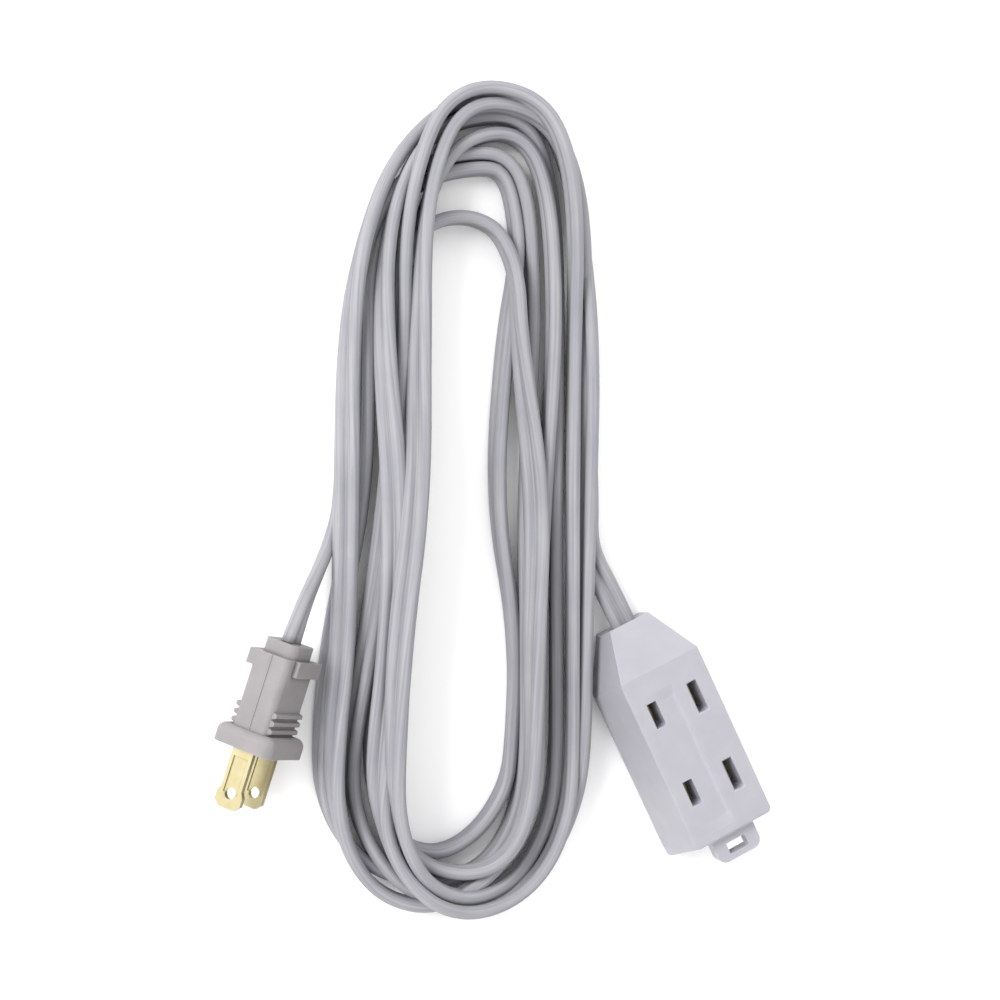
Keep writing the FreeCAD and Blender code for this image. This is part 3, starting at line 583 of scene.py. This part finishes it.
def brass(name, colour, tarnish, roughness, grain_turn):
    """Brushed yellow brass: lines along the strip, cloudy tarnish, painted shade in its
    recesses.
    """
    material, shader, point = new_material(name, colour, roughness, metallic=1.0)
    links = material.node_tree.links
    brushed = add_noise(material, point, grain_mm=0.22, stretch=(1.0, 30.0, 1.0),
                        turn=grain_turn)
    stains = add_noise(material, point, grain_mm=2.6, detail=5.0)
    stained = spread(material, stains, low=0.0, high=0.45)
    body = mix_colour(material, stained, colour, tarnish)
    # Painted shade: the tarnish colour darkened where the brass is occluded.
    painted_recess_shading = tuple(PAINTED_SHADE_SHARE * channel for channel in tarnish)
    body = mix_colour(material, openness(material, reach_mm=0.6), painted_recess_shading, body)
    links.new(body, shader.inputs["Base Color"])
    links.new(spread(material, brushed, low=roughness - 0.08, high=roughness + 0.12),
              shader.inputs["Roughness"])
    lines = add_bump(material, brushed, depth_mm=0.012)
    pitted = add_bump(material, stains, depth_mm=0.015, normal=lines)
    links.new(pitted, shader.inputs["Normal"])
    return material


def stranded_copper():
    """Bare copper with the lay of its strands and pink and brown patches."""
    material, shader, point = new_material("stranded_copper", COPPER, roughness=0.32,
                                           metallic=1.0)
    nodes, links = material.node_tree.nodes, material.node_tree.links
    lay = nodes.new("ShaderNodeTexWave")
    lay.bands_direction = "DIAGONAL"
    lay.inputs["Scale"].default_value = 0.9
    lay.inputs["Distortion"].default_value = 0.6
    links.new(point, lay.inputs["Vector"])
    patches = spread(material, add_noise(material, point, grain_mm=1.2), low=0.0, high=1.0)
    links.new(mix_colour(material, patches, COPPER_PINK, COPPER_BROWN),
              shader.inputs["Base Color"])
    links.new(add_bump(material, lay.outputs["Fac"], depth_mm=0.08), shader.inputs["Normal"])
    return material


def filled_nylon():
    """The carrier's rigid nylon, speckled by its glass fibres."""
    material, shader, point = new_material("filled_nylon", NYLON, roughness=0.5)
    links = material.node_tree.links
    fibres = add_noise(material, point, grain_mm=0.25, stretch=(1.0, 5.0, 1.0),
                       turn=(0.0, 0.0, 40.0))
    speckle = spread(material, fibres, low=0.0, high=1.0)
    links.new(mix_colour(material, speckle, NYLON_LIGHT, NYLON_DARK),
              shader.inputs["Base Color"])
    links.new(add_bump(material, fibres, depth_mm=0.03), shader.inputs["Normal"])
    return material


def give(material, *names):
    """The material, and no other, on every named piece."""
    for name in names:
        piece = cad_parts[name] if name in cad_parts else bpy.data.objects[name]
        piece.data.materials.clear()
        piece.data.materials.append(material)


# How far the connector and the plug are turned from the Y axis, in degrees.
CONNECTOR_TURN = 25.6
PLUG_HEADING = 16.9

give(moulded_plastic("connector_plastic", (CONNECTOR_WHITE, CONNECTOR_SHADE, CONNECTOR_PAINTED_BOUNCE_LIGHT),
                     roughness=0.42, grain_mm=0.35, grain_depth=0.02),
     "connector_front_shell", "connector_back_shell")
give(moulded_plastic("plug_pvc", (PLUG_WHITE, PLUG_SHADE, PLUG_PAINTED_SHADE),
                     roughness=0.58, grain_mm=0.5, grain_depth=0.035),
     "plug_overmould")
give(cord_jacket(), "flat_cord")
give(lead_insulation(), *("%s_lead_insulation_%s" % (end, pole)
                          for end in ("plug", "connector") for pole in POLES))
give(stranded_copper(), *("%s_lead_copper_%s" % (end, pole)
                          for end in ("plug", "connector") for pole in POLES))
give(filled_nylon(), "plug_blade_carrier")
give(brass("blade_brass", BLADE_YELLOW, BLADE_TARNISH, roughness=0.42,
           grain_turn=(0.0, 0.0, -PLUG_HEADING)),
     *("plug_blade_" + pole for pole in POLES))
give(brass("contact_brass", CONTACT_YELLOW, CONTACT_TARNISH, roughness=0.4,
           grain_turn=(0.0, 0.0, CONNECTOR_TURN)),
     *(pole + "_contact_strip" for pole in POLES))

# ---- floor and light, in metres and watts ----

FLOOR_REACH = 3.0
KEY_PLACE = (-1.05, 0.5, 0.95)
KEY_SIZE = 0.7
KEY_POWER = 17.0
FILL_PLACE = (0.3, 0.9, 1.1)
FILL_SIZE = 1.2
FILL_POWER = 3.0
WORLD_STRENGTH = 1.25


def make_floor():
    """A plain pale floor, level with the underside of the cord and the connector."""
    reach = FLOOR_REACH
    corners = [(-reach, -reach, 0.0), (reach, -reach, 0.0), (reach, reach, 0.0),
               (-reach, reach, 0.0)]
    floor = mesh_object("floor", corners, [(0, 1, 2, 3)])
    material = new_material("floor_paper", FLOOR_WHITE, roughness=0.9)[0]
    floor.data.materials.append(material)


def area_light(name, position, size, power):
    """A soft round light aimed at the camera's own target."""
    data = bpy.data.lights.new(name, "AREA")
    data.shape = "DISK"
    data.size = size
    data.energy = power
    light = bpy.data.objects.new(name, data)
    light.location = position
    aim = VIEW_TARGET - Vector(position)
    light.rotation_euler = aim.to_track_quat("-Z", "Y").to_euler()
    bpy.context.scene.collection.objects.link(light)


def make_studio():
    """A soft key from the left, a weaker fill from the top, and even white surroundings."""
    area_light("key_light", KEY_PLACE, KEY_SIZE, KEY_POWER)
    area_light("fill_light", FILL_PLACE, FILL_SIZE, FILL_POWER)
    world = bpy.data.worlds.new("studio")
    world.use_nodes = True
    background = world.node_tree.nodes["Background"]
    background.inputs["Color"].default_value = (1.0, 1.0, 1.0, 1.0)
    background.inputs["Strength"].default_value = WORLD_STRENGTH
    bpy.context.scene.world = world
    bpy.context.scene.view_settings.view_transform = "Standard"


make_floor()
make_studio()
